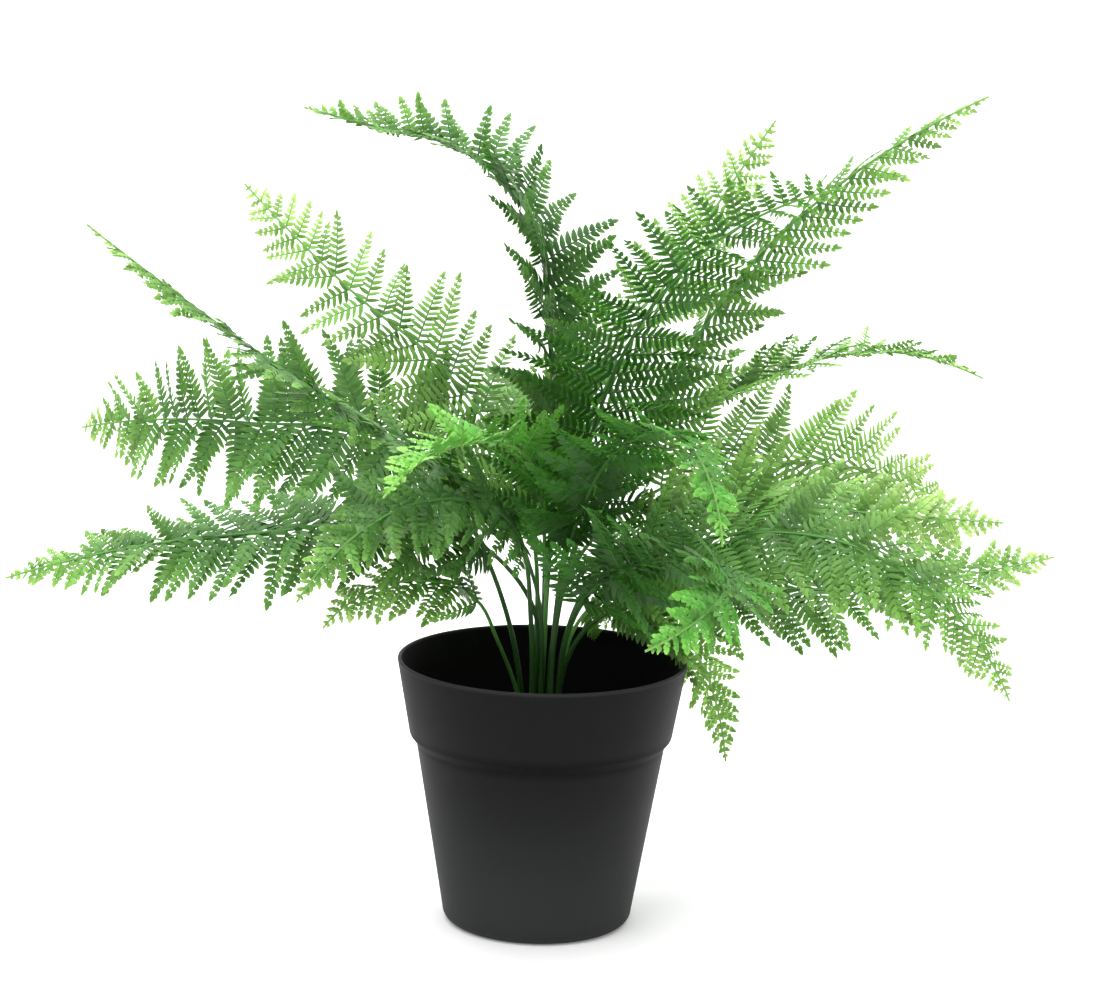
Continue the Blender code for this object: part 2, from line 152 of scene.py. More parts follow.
# Leaflets of a pinna. A short pinna has smaller ones that stand closer together. Each starts inside
# the pinna's midrib, at a share of its radius, and those of one side stand a share of the pitch
# farther along.
LEAFLET_PITCH = 2.7 * MM
SHORT_PITCH_SHARE = 0.60
FULL_PAIRS = 8
FULL_WIDTH_SHARE = 0.94
SLIM_WIDTH_SHARE = 0.74
SHORT_WIDTH_GAIN = 0.36
SHORT_REACH_GAIN = 0.30
LEAFLET_ANGLE = math.radians(76)
LEAFLET_LEAN = math.radians(22)
LEAFLET_TILT = math.radians(22)
LEAFLET_RAISE = math.radians(9)
LEAFLET_SWEEP = 0.16
LEAFLET_DROOP = 0.20
LEAFLET_EDGE = (0.72, 1.0, 0.92, 0.64, 0.0)
LEAFLET_RIDGE = 0.36 * MM
LEAFLET_ROOT = 0.3
LEAFLET_STAGGER = 0.22
LEAFLET_UNEVEN = 0.06
LEAST_REACH_SHARE = 0.6
LEAF_CREASE = math.radians(50)
ROOT_GAP = 0.9 * MM
END_LEAFLET_SHARE = 1.25
END_WIDTH_SHARE = 0.9
SINGLE_LENGTH = 4.4 * MM
SINGLE_WIDTH_SHARE = 0.40
RACHILLA_STEM_SHARE = 0.8
RACHILLA_SIDES = 6
RACHILLA_RADIUS = (0.42 * MM, 0.22 * MM)
RACHILLA_STEPS = 5
COMB_VARIANTS = 4

# A pinna that would meet another frond is bent up or down, then shortened, until it is clear.
BENDS = [math.radians(a) for a in (0, 9, -9, 18, -18, 28, -28, 40, -40, 54, -54)]
BEND_LIMITS = (math.radians(-62), math.radians(76))
SHORTER = (1.0, 0.84, 0.68, 0.52, 0.4)
CLEARANCE = 0.35 * MM
BLADE_HALF = 0.35 * MM
OWN_WIDTH = 0.55
SLAB_STATIONS = (0.06, 0.3, 0.55, 0.8)
RIB_SKIN_STEPS = 40

# One row a frond. foot: where its stalk stands, in millimetres. roll: turn of the blade about its
# rib, in degrees. fold: how far both halves of the blade are folded up, in degrees. bare: share of
# the length that is stalk. leaf: longest pinna, in millimetres. spread: angle between a pinna and
# the rib half way up the blade, in degrees. gap: distance between two pinnae near the stalk, in
# millimetres. tone: how light and yellow its green is, from 0 to 1. path: points that its rib
# passes through, in millimetres, the last one its tip.
Frond = namedtuple("Frond", "name foot roll fold bare leaf spread gap tone path")
FRONDS = [
    Frond("crown_right", (3, -8.5), -40, 15, 0.34, 48, 74, 10.0, 0.22,
          [(17, -12, 206), (30, -28, 246), (69, -62, 298), (110, -84, 318)]),
    Frond("upper_right", (3, -2.5), 38, -35, 0.34, 34, 46, 9.0, 0.36,
          [(16, 3, 170), (42, 6, 216), (86, 6, 283), (130, 2, 322), (173, -4, 348)]),
    Frond("right_fan", (3, 4.5), 65, 0, 0.50, 64, 48, 10.0, 0.46,
          [(17, 11, 157), (46, 28, 178), (88, 41, 188), (174, 70, 167)]),
    Frond("top_spray", (-0.5, 7), 35, -5, 0.42, 38, 57, 8.8, 0.42,
          [(9, 18, 188), (32, 40, 236), (61, 62, 282), (94, 82, 330)]),
    Frond("back", (-0.5, 12.5), 0, 8, 0.34, 40, 57, 8.8, 0.30,
          [(-1, 28, 170), (-6, 70, 208), (-9, 130, 205), (-14, 185, 180)]),
    Frond("crown_left", (-0.5, 1), -16, 32, 0.44, 40, 57, 6.8, 0.20,
          [(-1, 7, 248), (-9, 15, 292), (-41, 24, 320), (-70, 30, 326), (-104, 34, 334)]),
    Frond("upper_left", (-4, 5), -60, -5, 0.33, 46, 57, 10.8, 0.44,
          [(-11, 11, 182), (-42, 35, 224), (-86, 60, 256), (-133, 85, 297)]),
    Frond("low_left", (-4, -3), -22, -8, 0.34, 41, 57, 5.8, 0.24,
          [(-5, -5, 136), (-26, -13, 162), (-119, -26, 167), (-218, -26, 146)]),
    Frond("mid_left", (-4, -9), -8, -12, 0.34, 32, 52, 5.8, 0.30,
          [(-5, -11, 128), (-11, -17, 168), (-58, -45, 209), (-96, -75, 238), (-174, -100, 299)]),
    Frond("front_left_high", (-0.5, -6), 0, 38, 0.40, 36, 57, 7.6, 0.50,
          [(0, -17, 160), (-6, -31, 199), (-40, -80, 213), (-61, -118, 201)]),
    Frond("front", (3.5, -16), -10, 10, 0.40, 36, 57, 7.6, 0.24,
          [(10, -24, 166), (28, -56, 211), (50, -96, 223), (65, -140, 190)]),
    Frond("right_mid", (6.5, 7), 40, 10, 0.30, 42, 57, 7.2, 0.34,
          [(17, 8, 122), (60, 8, 139), (131, 12, 142), (212, 14, 157)]),
    Frond("back_right_high", (3, 10), 0, 22, 0.55, 36, 57, 6.0, 0.42,
          [(22, 26, 174), (72, 66, 211), (156, 92, 229), (190, 98, 218)]),
    Frond("back_right_low", (6.5, 12.5), -50, -10, 0.36, 36, 52, 7.2, 0.62,
          [(13, 24, 119), (38, 60, 126), (66, 88, 97), (83, 96, 42)]),
    Frond("left", (-8, 2.5), -75, 5, 0.32, 53, 72, 7.6, 0.28,
          [(-22, 12, 146), (-53, 40, 188), (-132, 84, 193), (-212, 146, 178)]),
    Frond("low_left_short", (-8, -5.5), -45, -5, 0.52, 42, 57, 7.2, 0.32,
          [(-19, -10, 122), (-27, -16, 139), (-48, -24, 149), (-89, -34, 130)]),
    Frond("front_left_low", (-0.5, -12), -45, -12, 0.46, 36, 57, 7.2, 0.16,
          [(-4, -25, 150), (-20, -50, 184), (-45, -74, 192), (-93, -118, 160)]),
    Frond("front_right", (6.5, -11.5), -15, 5, 0.34, 42, 57, 7.4, 0.24,
          [(13, -24, 138), (43, -60, 167), (69, -112, 170), (37, -152, 153)]),
    Frond("right_low", (6.5, -5.5), 40, -5, 0.32, 42, 57, 7.0, 0.34,
          [(18, -13, 142), (54, -30, 167), (124, -54, 173), (185, -62, 114)]),
    Frond("right_upper", (6.5, 0.5), 52, -5, 0.32, 42, 57, 7.0, 0.44,
          [(19, -3, 146), (63, -12, 180), (137, -20, 180), (185, -22, 178)]),
]

# Freshness: new growth is lighter and yellower. It fades with the distance from the frond's tip.
# The rib grows lighter than its leaves the farther it is from the stalk's foot: partly its own
# lighter green, partly painted shade that darkens the stalk low in the bunch and in the pot.
# Shade is chance: part of it is drawn for the whole pinna, and the rest for each leaflet.
FRESH_REACH = 58 * MM
FRESH_GAIN = 0.46
FRESH_PINNA_TIP = 0.24
FRESH_UNEVEN = 0.05
RIB_LIGHTENING_AND_PAINTED_STALK_SHADE = 0.24
PINNA_SHADE_SHARE = 0.55
MIDDLE_SHADE = 0.5

# Greens of the leaves, from the oldest growth to the freshest. The fronds at the front have a
# purer green.
SOFT_GREENS = (
    (0.0, "#1c3917"), (0.25, "#2d5420"), (0.45, "#43722d"), (0.68, "#72a046"), (1.0, "#adcf76"),
)
VIVID_GREENS = (
    (0.0, "#1d3515"), (0.25, "#2a4c1a"), (0.45, "#3a7026"), (0.68, "#569f35"), (1.0, "#88ca58"),
)
VIVID_FRONDS = ("front_left_high", "front", "front_right")

# Fronds whose leaflets are slim, with light between them.
OPEN_FRONDS = (
    "right_fan", "upper_left", "top_spray", "back_right_high", "upper_right", "crown_right", "right_low",
)

# Patterns of the materials, by the size of one cell of their noise. The pot's real grain is finer,
# and is drawn coarse enough to show.
LEAF_MOTTLE = 11.1 * MM
POT_CLOUD = 35.7 * MM
POT_GRAIN = 0.714 * MM
POT_FLOW_MARK = (125 * MM, 125 * MM, 3.85 * MM)
COMPOST_LUMP = 4.55 * MM
COMPOST_FIBRE = 2.38 * MM

# Other values of the materials. The veins' scale is for the unit square of a leaflet. The mottle
# changes the freshness by up to half its drift. The painted shade in the step under the band fades
# out over its reach, a share of the pot's height.
LEAF_VEIN_SCALE = 3.2
LEAF_MOTTLE_DRIFT = 0.22
POT_SPECULAR = 0.14
STEP_SHADE_REACH = 0.03


# Helpers


def linear(hex_colour):
    """An sRGB hex colour as the linear RGBA that Blender's sockets take."""
    channels = [int(hex_colour[i:i + 2], 16) / 255 for i in (1, 3, 5)]
    return (*[c / 12.92 if c <= 0.04045 else ((c + 0.055) / 1.055) ** 2.4 for c in channels], 1)


def piece(name, bm, finish):
    """A bmesh made into an object at the origin, with its material."""
    mesh = bpy.data.meshes.new(name)
    bm.to_mesh(mesh)
    bm.free()
    mesh.materials.append(finish)
    made = bpy.data.objects.new(name, mesh)
    bpy.context.scene.collection.objects.link(made)
    return made


def add(tree, kind, settings=None, **inputs):
    """Adds a node. settings are its properties, and inputs are values or sockets by input name."""
    node = tree.nodes.new(kind)
    for key, value in (settings or {}).items():
        setattr(node, key, value)
    for key, value in inputs.items():
        socket = node.inputs[int(key[1:])] if key[1:].isdigit() else node.inputs[key.replace("_", " ")]
        if isinstance(value, bpy.types.NodeSocket):
            tree.links.new(value, socket)
        else:
            socket.default_value = value
    return node


def ramp(tree, factor, stops):
    """A colour ramp from pairs of position and hex colour."""
    node = add(tree, "ShaderNodeValToRGB", Fac=factor)
    elements = node.color_ramp.elements
    while len(elements) < len(stops):
        elements.new(1)
    for element, (position, colour) in zip(elements, stops):
        element.position = position
        element.color = linear(colour)
    return node.outputs["Color"]


def new_material(name):
    made = bpy.data.materials.new(name)
    made.use_nodes = True
    tree = made.node_tree
    return made, tree, tree.nodes["Principled BSDF"]


# Materials


def leaf_plastic(name, greens):
    """Polyethylene, injection moulded, as on an artificial fern: an even satin green through the
    whole thickness, lighter where the leaf is young, with painted shade that darkens and cools its
    undersides, and a soft glow where light comes through."""
    made, tree, shader = new_material(name)
    growth = add(tree, "ShaderNodeAttribute", {"attribute_name": "growth"})
    parts = add(tree, "ShaderNodeSeparateColor", Color=growth.outputs["Color"])
    under = add(tree, "ShaderNodeAttribute", {"attribute_name": "underside"}).outputs["Fac"]
    place = add(tree, "ShaderNodeTexCoord").outputs["Object"]
    mottle = add(tree, "ShaderNodeTexNoise", Vector=place, Scale=1 / LEAF_MOTTLE, Detail=2)
    drift = add(tree, "ShaderNodeMath", {"operation": "MULTIPLY_ADD"}, _0=mottle.outputs["Fac"],
                _1=LEAF_MOTTLE_DRIFT, _2=-LEAF_MOTTLE_DRIFT / 2)
    fresh = add(tree, "ShaderNodeMath", {"operation": "ADD"}, _0=parts.outputs["Red"], _1=drift.outputs[0])
    blade = ramp(tree, fresh.outputs[0], greens)
    value = add(tree, "ShaderNodeMapRange", Value=parts.outputs["Green"], To_Min=0.56, To_Max=1.38)
    varied = add(tree, "ShaderNodeHueSaturation", Value=value.outputs["Result"], Color=blade)
    # Painted shade on the undersides: the lower faces are darkened and cooled.
    painted_underside_shade = add(tree, "ShaderNodeMix", {"data_type": "RGBA", "blend_type": "MULTIPLY"}, _0=under,
                _6=varied.outputs["Color"], _7=linear("#c4d6ba"))
    stems = ramp(tree, fresh.outputs[0], (
        (0.0, "#183416"), (0.35, "#2a521f"), (0.6, "#4c8535"), (1.0, "#7fae54"),
    ))
    colour = add(tree, "ShaderNodeMix", {"data_type": "RGBA"}, _0=parts.outputs["Blue"],
                 _6=painted_underside_shade.outputs[2], _7=stems)
    tree.links.new(colour.outputs[2], shader.inputs["Base Color"])
    gloss = add(tree, "ShaderNodeMapRange", Value=mottle.outputs["Fac"], To_Min=0.38, To_Max=0.56)
    tree.links.new(gloss.outputs["Result"], shader.inputs["Roughness"])
    across = add(tree, "ShaderNodeUVMap", {"uv_map": "leaf"}).outputs["UV"]
    veins = add(tree, "ShaderNodeTexWave", {"wave_type": "BANDS", "bands_direction": "DIAGONAL"},
                Vector=across, Scale=LEAF_VEIN_SCALE, Distortion=0.6)
    bump = add(tree, "ShaderNodeBump", Height=veins.outputs["Fac"], Strength=0.25, Distance=0.12 * MM)
    tree.links.new(bump.outputs["Normal"], shader.inputs["Normal"])
    shader.inputs["IOR"].default_value = 1.5
    shader.inputs["Specular IOR Level"].default_value = 0.28
    shader.inputs["Subsurface Weight"].default_value = 0.2
    shader.inputs["Subsurface Radius"].default_value = (0.5, 1.0, 0.25)
    shader.inputs["Subsurface Scale"].default_value = 1.0 * MM
    return made


def pot_plastic():
    """Polypropylene, black, injection moulded with a fine spark-eroded texture: satin, with a painted
    highlight of lighter grey along the lip, painted shade in the step under the band, and a painted
    reflection of the floor that lightens it towards the foot, with faint flow marks round the wall."""
    made, tree, shader = new_material("black_moulded_polypropylene")
    place = add(tree, "ShaderNodeTexCoord").outputs["Object"]
    cloud = add(tree, "ShaderNodeTexNoise", Vector=place, Scale=1 / POT_CLOUD, Detail=3)
    base_black = ramp(tree, cloud.outputs["Fac"], ((0.3, "#060707"), (0.7, "#0a0b0b")))
    height = add(tree, "ShaderNodeSeparateXYZ", Vector=place).outputs["Z"]
    # Painted reflection of the white floor: the wall's colour turns a lighter grey towards the foot.
    painted_reflection_reach = add(tree, "ShaderNodeMapRange", {"interpolation_type": "SMOOTHSTEP"}, Value=height,
                From_Min=BAND_FOOT_HEIGHT, From_Max=0, To_Min=0, To_Max=1)
    painted_floor_reflection = add(tree, "ShaderNodeMix", {"data_type": "RGBA"}, _0=painted_reflection_reach.outputs["Result"], _6=base_black,
               _7=linear("#2b2c2c"))
    # Painted highlight: the colour turns a lighter grey over the top of the lip.
    lip_highlight_reach = add(tree, "ShaderNodeMapRange", Value=height, From_Min=POT_HEIGHT - POT_WALL, From_Max=POT_HEIGHT,
               To_Min=0, To_Max=1)
    painted_lip_highlight = add(tree, "ShaderNodeMix", {"data_type": "RGBA"}, _0=lip_highlight_reach.outputs["Result"],
                 _6=painted_floor_reflection.outputs[2], _7=linear("#2e2f2f"))
    share = add(tree, "ShaderNodeMath", {"operation": "DIVIDE"}, _0=height, _1=POT_HEIGHT)
    step_foot, band_foot = STEP_FOOT_HEIGHT / POT_HEIGHT, BAND_FOOT_HEIGHT / POT_HEIGHT
    # Painted shade in the step under the band: the colour is pulled towards black and the specular lowered.
    painted_step_shade = ramp(tree, share.outputs[0], (
        (step_foot - STEP_SHADE_REACH, "#ffffff"), (step_foot, "#cccccc"), (band_foot, "#cccccc"),
        (band_foot + STEP_SHADE_REACH, "#ffffff"),
    ))
    colour = add(tree, "ShaderNodeMix", {"data_type": "RGBA"}, _0=painted_step_shade, _6=linear("#020202"),
                 _7=painted_lip_highlight.outputs[2])
    tree.links.new(colour.outputs[2], shader.inputs["Base Color"])
    specular = add(tree, "ShaderNodeMath", {"operation": "MULTIPLY"}, _0=painted_step_shade, _1=POT_SPECULAR)
    tree.links.new(specular.outputs[0], shader.inputs["Specular IOR Level"])
    gloss = add(tree, "ShaderNodeMapRange", Value=cloud.outputs["Fac"], To_Min=0.54, To_Max=0.68)
    tree.links.new(gloss.outputs["Result"], shader.inputs["Roughness"])
    grain = add(tree, "ShaderNodeTexNoise", Vector=place, Scale=1 / POT_GRAIN, Detail=2)
    rings = add(tree, "ShaderNodeMapping", Vector=place, Scale=[1 / size for size in POT_FLOW_MARK])
    flow = add(tree, "ShaderNodeTexNoise", Vector=rings.outputs["Vector"], Scale=1.0, Detail=1)
    relief = add(tree, "ShaderNodeMath", {"operation": "MULTIPLY_ADD"}, _0=flow.outputs["Fac"], _1=1.5,
                 _2=grain.outputs["Fac"])
    bump = add(tree, "ShaderNodeBump", Height=relief.outputs[0], Strength=0.3, Distance=0.06 * MM)
    tree.links.new(bump.outputs["Normal"], shader.inputs["Normal"])
    shader.inputs["IOR"].default_value = 1.49
    return made


def compost():
    """Peat-free compost: dark, dry crumbs and bark fibre, rough and quite matt."""
    made, tree, shader = new_material("bark_compost")
    place = add(tree, "ShaderNodeTexCoord").outputs["Object"]
    lumps = add(tree, "ShaderNodeTexNoise", Vector=place, Scale=1 / COMPOST_LUMP, Detail=6, Roughness=0.7)
    colour = ramp(tree, lumps.outputs["Fac"], (
        (0.30, "#120d0a"), (0.50, "#2a1d14"), (0.66, "#3d2b1d"), (0.78, "#5a4331"),
    ))
    tree.links.new(colour, shader.inputs["Base Color"])
    fibre = add(tree, "ShaderNodeTexVoronoi", Vector=place, Scale=1 / COMPOST_FIBRE)
    relief = add(tree, "ShaderNodeMath", {"operation": "ADD"}, _0=lumps.outputs["Fac"],
                 _1=fibre.outputs["Distance"])
    bump = add(tree, "ShaderNodeBump", Height=relief.outputs[0], Strength=0.9, Distance=0.8 * MM)
    tree.links.new(bump.outputs["Normal"], shader.inputs["Normal"])
    shader.inputs["Roughness"].default_value = 0.95
    return made


def studio_acrylic():
    """Opal white acrylic, matt and lit a little from below, so that shadows on it stay pale."""
    made, _, shader = new_material("opal_white_acrylic")
    shader.inputs["Base Color"].default_value = linear("#f7f7f7")
    shader.inputs["Roughness"].default_value = 0.9
    shader.inputs["Emission Color"].default_value = linear("#ffffff")
    shader.inputs["Emission Strength"].default_value = 0.16
    return made


# Stalks and ribs


def stalk_foot(frond):
    return Vector((*frond.foot, 0)) * MM


class Rib:
    """The rib of a frond: a smooth curve from the stalk's foot to the tip, with a frame that
    is carried along it without twist and rolled gradually over the bare stalk."""

    STEPS = 24

    def __init__(self, frond):
        foot = stalk_foot(frond)
        base = foot + Vector((0, 0, SOIL_MOUND_HEIGHT - HOLE_DEPTH + SOIL_GAP))
        knots = [foot + Vector((0, 0, SOIL_MOUND_HEIGHT + SOIL_CLEAR))]
        knots += [Vector(p) * MM for p in frond.path]
        slopes = self.slopes(knots)
        self.points = [base]
        for i in range(len(knots) - 1):
            reach = (knots[i + 1] - knots[i]).length / 3
            handles = (knots[i] + slopes[i] * reach, knots[i + 1] - slopes[i + 1] * reach)
            stretch = interpolate_bezier(knots[i], *handles, knots[i + 1], self.STEPS)
            self.points += stretch[(1 if i else 0):]
        self.marks = [0]
        for a, b in zip(self.points, self.points[1:]):
            self.marks.append(self.marks[-1] + (b - a).length)
        self.length = self.marks[-1]
        self.carry_frame(frond)

    @staticmethod
    def slopes(knots):
        """Unit directions at the knots: upright at the foot, then as a round curve would lie."""
        slopes = [Vector((0, 0, 1))]
        for before, here, after in zip(knots, knots[1:], knots[2:]):
            a, b = here - before, after - here
            slopes.append((a / a.length_squared + b / b.length_squared).normalized())
        last = (knots[-1] - knots[-2]).normalized()
        slopes.append((2 * last.dot(slopes[-1]) * last - slopes[-1]).normalized())
        return slopes

    def carry_frame(self, frond):
        count = len(self.points)
        ahead = [self.points[min(i + 1, count - 1)] - self.points[max(i - 1, 0)] for i in range(count)]
        self.tangents = [t.normalized() for t in ahead]
        outward = (Vector(frond.path[-1]) * Vector((1, 1, 0))).normalized()
        side = outward.cross(Vector((0, 0, 1)))
        self.sides = [side]
        for a, b in zip(self.tangents, self.tangents[1:]):
            side = a.rotation_difference(b) @ side
            side = (side - b * side.dot(b)).normalized()
            self.sides.append(side)
        for i, mark in enumerate(self.marks):
            turn = math.radians(frond.roll) * min(mark / (self.length * frond.bare), 1)
            self.sides[i] = Quaternion(self.tangents[i], turn) @ self.sides[i]

    def at(self, mark):
        """Place, tangent, side and upper normal at a distance along the rib."""
        mark = min(max(mark, 0), self.length)
        i = 0
        while self.marks[i + 1] < mark and i < len(self.marks) - 2:
            i += 1
        t = (mark - self.marks[i]) / (self.marks[i + 1] - self.marks[i])
        tangent = self.tangents[i].lerp(self.tangents[i + 1], t).normalized()
        side = self.sides[i].lerp(self.sides[i + 1], t)
        side = (side - tangent * side.dot(tangent)).normalized()
        return self.points[i].lerp(self.points[i + 1], t), tangent, side, side.cross(tangent)


def rib_width(rib, mark):
    """The stalk thins quickly up to the blade, and the rib then slowly to its tip."""
    share = mark / rib.length
    if share < THINNING_END:
        return STALK_WIDTH + (RIB_WIDTH - STALK_WIDTH) * share / THINNING_END
    return RIB_WIDTH + (TIP_WIDTH - RIB_WIDTH) * (share - THINNING_END) / (1 - THINNING_END)


def pair_marks(rib, frond):
    """Where the pairs of pinnae leave the rib, from the base to the tip, closing up on the way."""
    marks = []
    left = TIP_BARE
    while left < rib.length * (1 - frond.bare):
        marks.append(rib.length - left)
        grown = 1 - math.exp(-left / SPACING_REACH)
        left += SPACING_AT_TIP + (frond.gap * MM - SPACING_AT_TIP) * grown
    return marks[::-1]


def pinna_length(rib, frond, mark):
    """Pinnae lengthen with the distance from the tip, up to the frond's longest."""
    return frond.leaf * MM * (1 - math.exp(-(rib.length - mark) / LENGTH_REACH))


def pinna_angle(rib, frond, mark):
    """Pinnae stand out most at the foot of the blade and lie closer to the rib at its tip."""
    start = rib.length * frond.bare
    share = (mark - start) / (rib.length - start)
    return math.radians(frond.spread + SPREAD_CHANGE * (1 - 2 * share))


def freshness(rib, frond, mark):
    return frond.tone + FRESH_GAIN * math.exp(-(rib.length - mark) / FRESH_REACH)


# Pinnae: where each one goes


Growth = namedtuple("Growth", "mark side length angle bend twist arch sweep")


class Pinna:
    """The space of a side leaf: u runs along it, v across it and w up, in metres."""

    def __init__(self, rib, growth):
        place, tangent, side, normal = rib.at(growth.mark)
        out = side * growth.side
        outward = out * math.cos(growth.bend) + normal * math.sin(growth.bend)
        up = normal * math.cos(growth.bend) - out * math.sin(growth.bend)
        self.along = tangent * math.cos(growth.angle) + outward * math.sin(growth.angle)
        level = (tangent * math.sin(growth.angle) - outward * math.cos(growth.angle)) * growth.side
        turn = Quaternion(self.along, growth.twist)
        self.across = turn @ level
        self.up = turn @ up
        self.root = place + out * rib_width(rib, growth.mark) * PINNA_ROOT
        self.growth = growth

    def place(self, u, v, w):
        """The blade arches down and sweeps sideways as it goes out."""
        bow = u * u / self.growth.length
        v += self.growth.sweep * bow
        w -= self.growth.arch * bow
        return self.root + self.along * u + self.across * v + self.up * w

    def slab(self, width_share, margin):
        """A closed thin skin round the blade, for the clearance test."""
        length = self.growth.length + margin
        half = self.growth.length * PINNA_WIDTH_SHARE / 2
        rows = [(length * t, half * width_share * (1 - t ** PINNA_TAPER) + margin) for t in SLAB_STATIONS]
        points = []
        for w in (BLADE_HALF + margin, -BLADE_HALF - margin):
            for u, v in rows:
                points += [self.place(u, -v, w), self.place(u, v, w)]
            points.append(self.place(length, 0, w))
        count = len(points) // 2
        faces = []
        for i in range(len(rows) - 1):
            a = 2 * i
            faces.append((a, a + 2, a + 3, a + 1))
        faces.append((count - 3, count - 1, count - 2))
        faces += [tuple(i + count for i in f) for f in faces]
        return points, faces


def rib_skin(rib):
    """Square tube round a rib, for the clearance test."""
    points, faces = [], []
    for i in range(RIB_SKIN_STEPS + 1):
        mark = rib.length * i / RIB_SKIN_STEPS
        place, _, side, normal = rib.at(mark)
        reach = rib_width(rib, mark) / 2
        square = ((1, 1), (-1, 1), (-1, -1), (1, -1))
        points += [place + (side * a + normal * b) * reach for a, b in square]
    for i in range(RIB_SKIN_STEPS):
        for k in range(4):
            a, b = 4 * i + k, 4 * i + (k + 1) % 4
            faces.append((a, b, b + 4, a + 4))
    return points, faces


def merged_tree(skins):
    points, faces = [], []
    for more_points, more_faces in skins:
        start = len(points)
        points += more_points
        faces += [tuple(i + start for i in f) for f in more_faces]
    return BVHTree.FromPolygons(points, faces)


def clear_growth(rib, wish, others, own):
    """The wished growth, bent or shortened until it is clear of the others, or None."""
    for share in SHORTER:
        for change in BENDS:
            bend = wish.bend + change
            if not BEND_LIMITS[0] < bend < BEND_LIMITS[1]:
                continue
            trial = wish._replace(length=wish.length * share, bend=bend)
            pinna = Pinna(rib, trial)
            tree = BVHTree.FromPolygons(*pinna.slab(1, CLEARANCE))
            if any(tree.overlap(other) for other in others):
                continue
            narrow = BVHTree.FromPolygons(*pinna.slab(OWN_WIDTH, 0))
            if not any(narrow.overlap(other) for other in own):
                return trial
    return None


def choose_growths(ribs):
    """For each frond the growths of its pinnae, whose thin skins are clear of the other fronds'."""
    skins = {name: [rib_skin(rib)] for name, rib in ribs.items()}
    trees = {name: merged_tree(skins[name]) for name in ribs}
    chosen = {}
    for frond in FRONDS:
        rib = ribs[frond.name]
        chance = random.Random(frond.name)
        chosen[frond.name] = []
        own = {1: [], -1: []}
        others = [trees[name] for name in ribs if name != frond.name]
        for mark in pair_marks(rib, frond):
            for side in (1, -1):
                wish = Growth(
                    mark=mark,
                    side=side,
                    length=pinna_length(rib, frond, mark) * (1 + UNEVEN_LENGTH * chance.uniform(-1, 1)),
                    angle=pinna_angle(rib, frond, mark) + UNEVEN_ANGLE * chance.uniform(-1, 1),
                    bend=math.radians(frond.fold) + UNEVEN_BEND * chance.uniform(-1, 1),
                    twist=UNEVEN_TWIST * chance.uniform(-1, 1),
                    arch=PINNA_ARCH + UNEVEN_ARCH * chance.uniform(-1, 1),
                    sweep=UNEVEN_SWEEP * chance.uniform(-1, 1),
                )
                growth = clear_growth(rib, wish, others, own[side])
                if growth is None:
                    continue
                chosen[frond.name].append(growth)
                pinna = Pinna(rib, growth)
                own[side] = [merged_tree([pinna.slab(OWN_WIDTH, 0)])]
                skins[frond.name].append(pinna.slab(1, 0))
        trees[frond.name] = merged_tree(skins[frond.name])
    return chosen


# Leaves: the meshes


def leaf_bmesh():
    """A bmesh with what the leaf's material reads: growth holds freshness, chance and how much
    of it is stem, and underside is 1 on the lower faces, where the material paints shade."""
    made = bmesh.new()
    made.loops.layers.uv.new("leaf")
    made.verts.layers.float_color.new("growth")
    made.faces.layers.float.new("underside")
    return made


def as_mesh(name, bm):
    """A bmesh kept as a mesh, to be laid into other meshes many times."""
    mesh = bpy.data.meshes.new(name)
    bm.to_mesh(mesh)
    bm.free()
    return mesh


def laid_in(bm, mesh):
    """Adds a mesh to a bmesh and returns its new vertices."""
    start = len(bm.verts)
    bm.from_mesh(mesh)
    bm.verts.ensure_lookup_table()
    return bm.verts[start:]


def unit_leaflet():
    """One leaflet, 1 long on +X and 1 wide, with its real thickness: closed, flat below and
    raised along its midrib."""
    bm = leaf_bmesh()
    steps = len(LEAFLET_EDGE) - 1
    place = Matrix.Translation((0.5, 0, 0))
    bmesh.ops.create_grid(bm, x_segments=steps, y_segments=2, size=0.5, matrix=place, calc_uvs=True)
    upper_faces = list(bm.faces)
    bmesh.ops.create_grid(bm, x_segments=steps, y_segments=1, size=0.5, matrix=place, calc_uvs=True)
    lower_faces = [face for face in bm.faces if face not in upper_faces]
    bmesh.ops.reverse_faces(bm, faces=lower_faces)
    underside = bm.faces.layers.float["underside"]
    for face in lower_faces:
        face[underside] = 1.0
    for v in bm.verts:
        if abs(v.co.y) < 0.01:
            v.co.z = LEAFLET_RIDGE * (1 - v.co.x ** 2)
        v.co.y *= LEAFLET_EDGE[round(v.co.x * steps)]
    bmesh.ops.remove_doubles(bm, verts=list(bm.verts), dist=MERGE)
    open_end = [edge for edge in bm.edges if edge.is_boundary]
    bmesh.ops.holes_fill(bm, edges=open_end, sides=3)
    bmesh.ops.recalc_face_normals(bm, faces=list(bm.faces))
    return as_mesh("unit_leaflet", bm)


def lay_leaflet(bm, leaflet, place, turn, length, width, chance):
    """Lays a leaflet in a comb. turn is its angle in the comb's plane."""
    matrix = (
        Matrix.Translation(place)
        @ Matrix.Rotation(turn, 4, "Z")
        @ Matrix.Rotation(LEAFLET_TILT * chance.uniform(-1, 1), 4, "X")
        @ Matrix.Rotation(LEAFLET_RAISE * chance.uniform(-1, 1), 4, "Y")
        @ Matrix.Diagonal((length, width, 1, 1))
    )
    verts = laid_in(bm, leaflet)
    bmesh.ops.transform(bm, matrix=matrix, verts=verts)
    growth = bm.verts.layers.float_color["growth"]
    shade = chance.random()
    for v in verts:
        v[growth] = (0, shade, 0, 1)


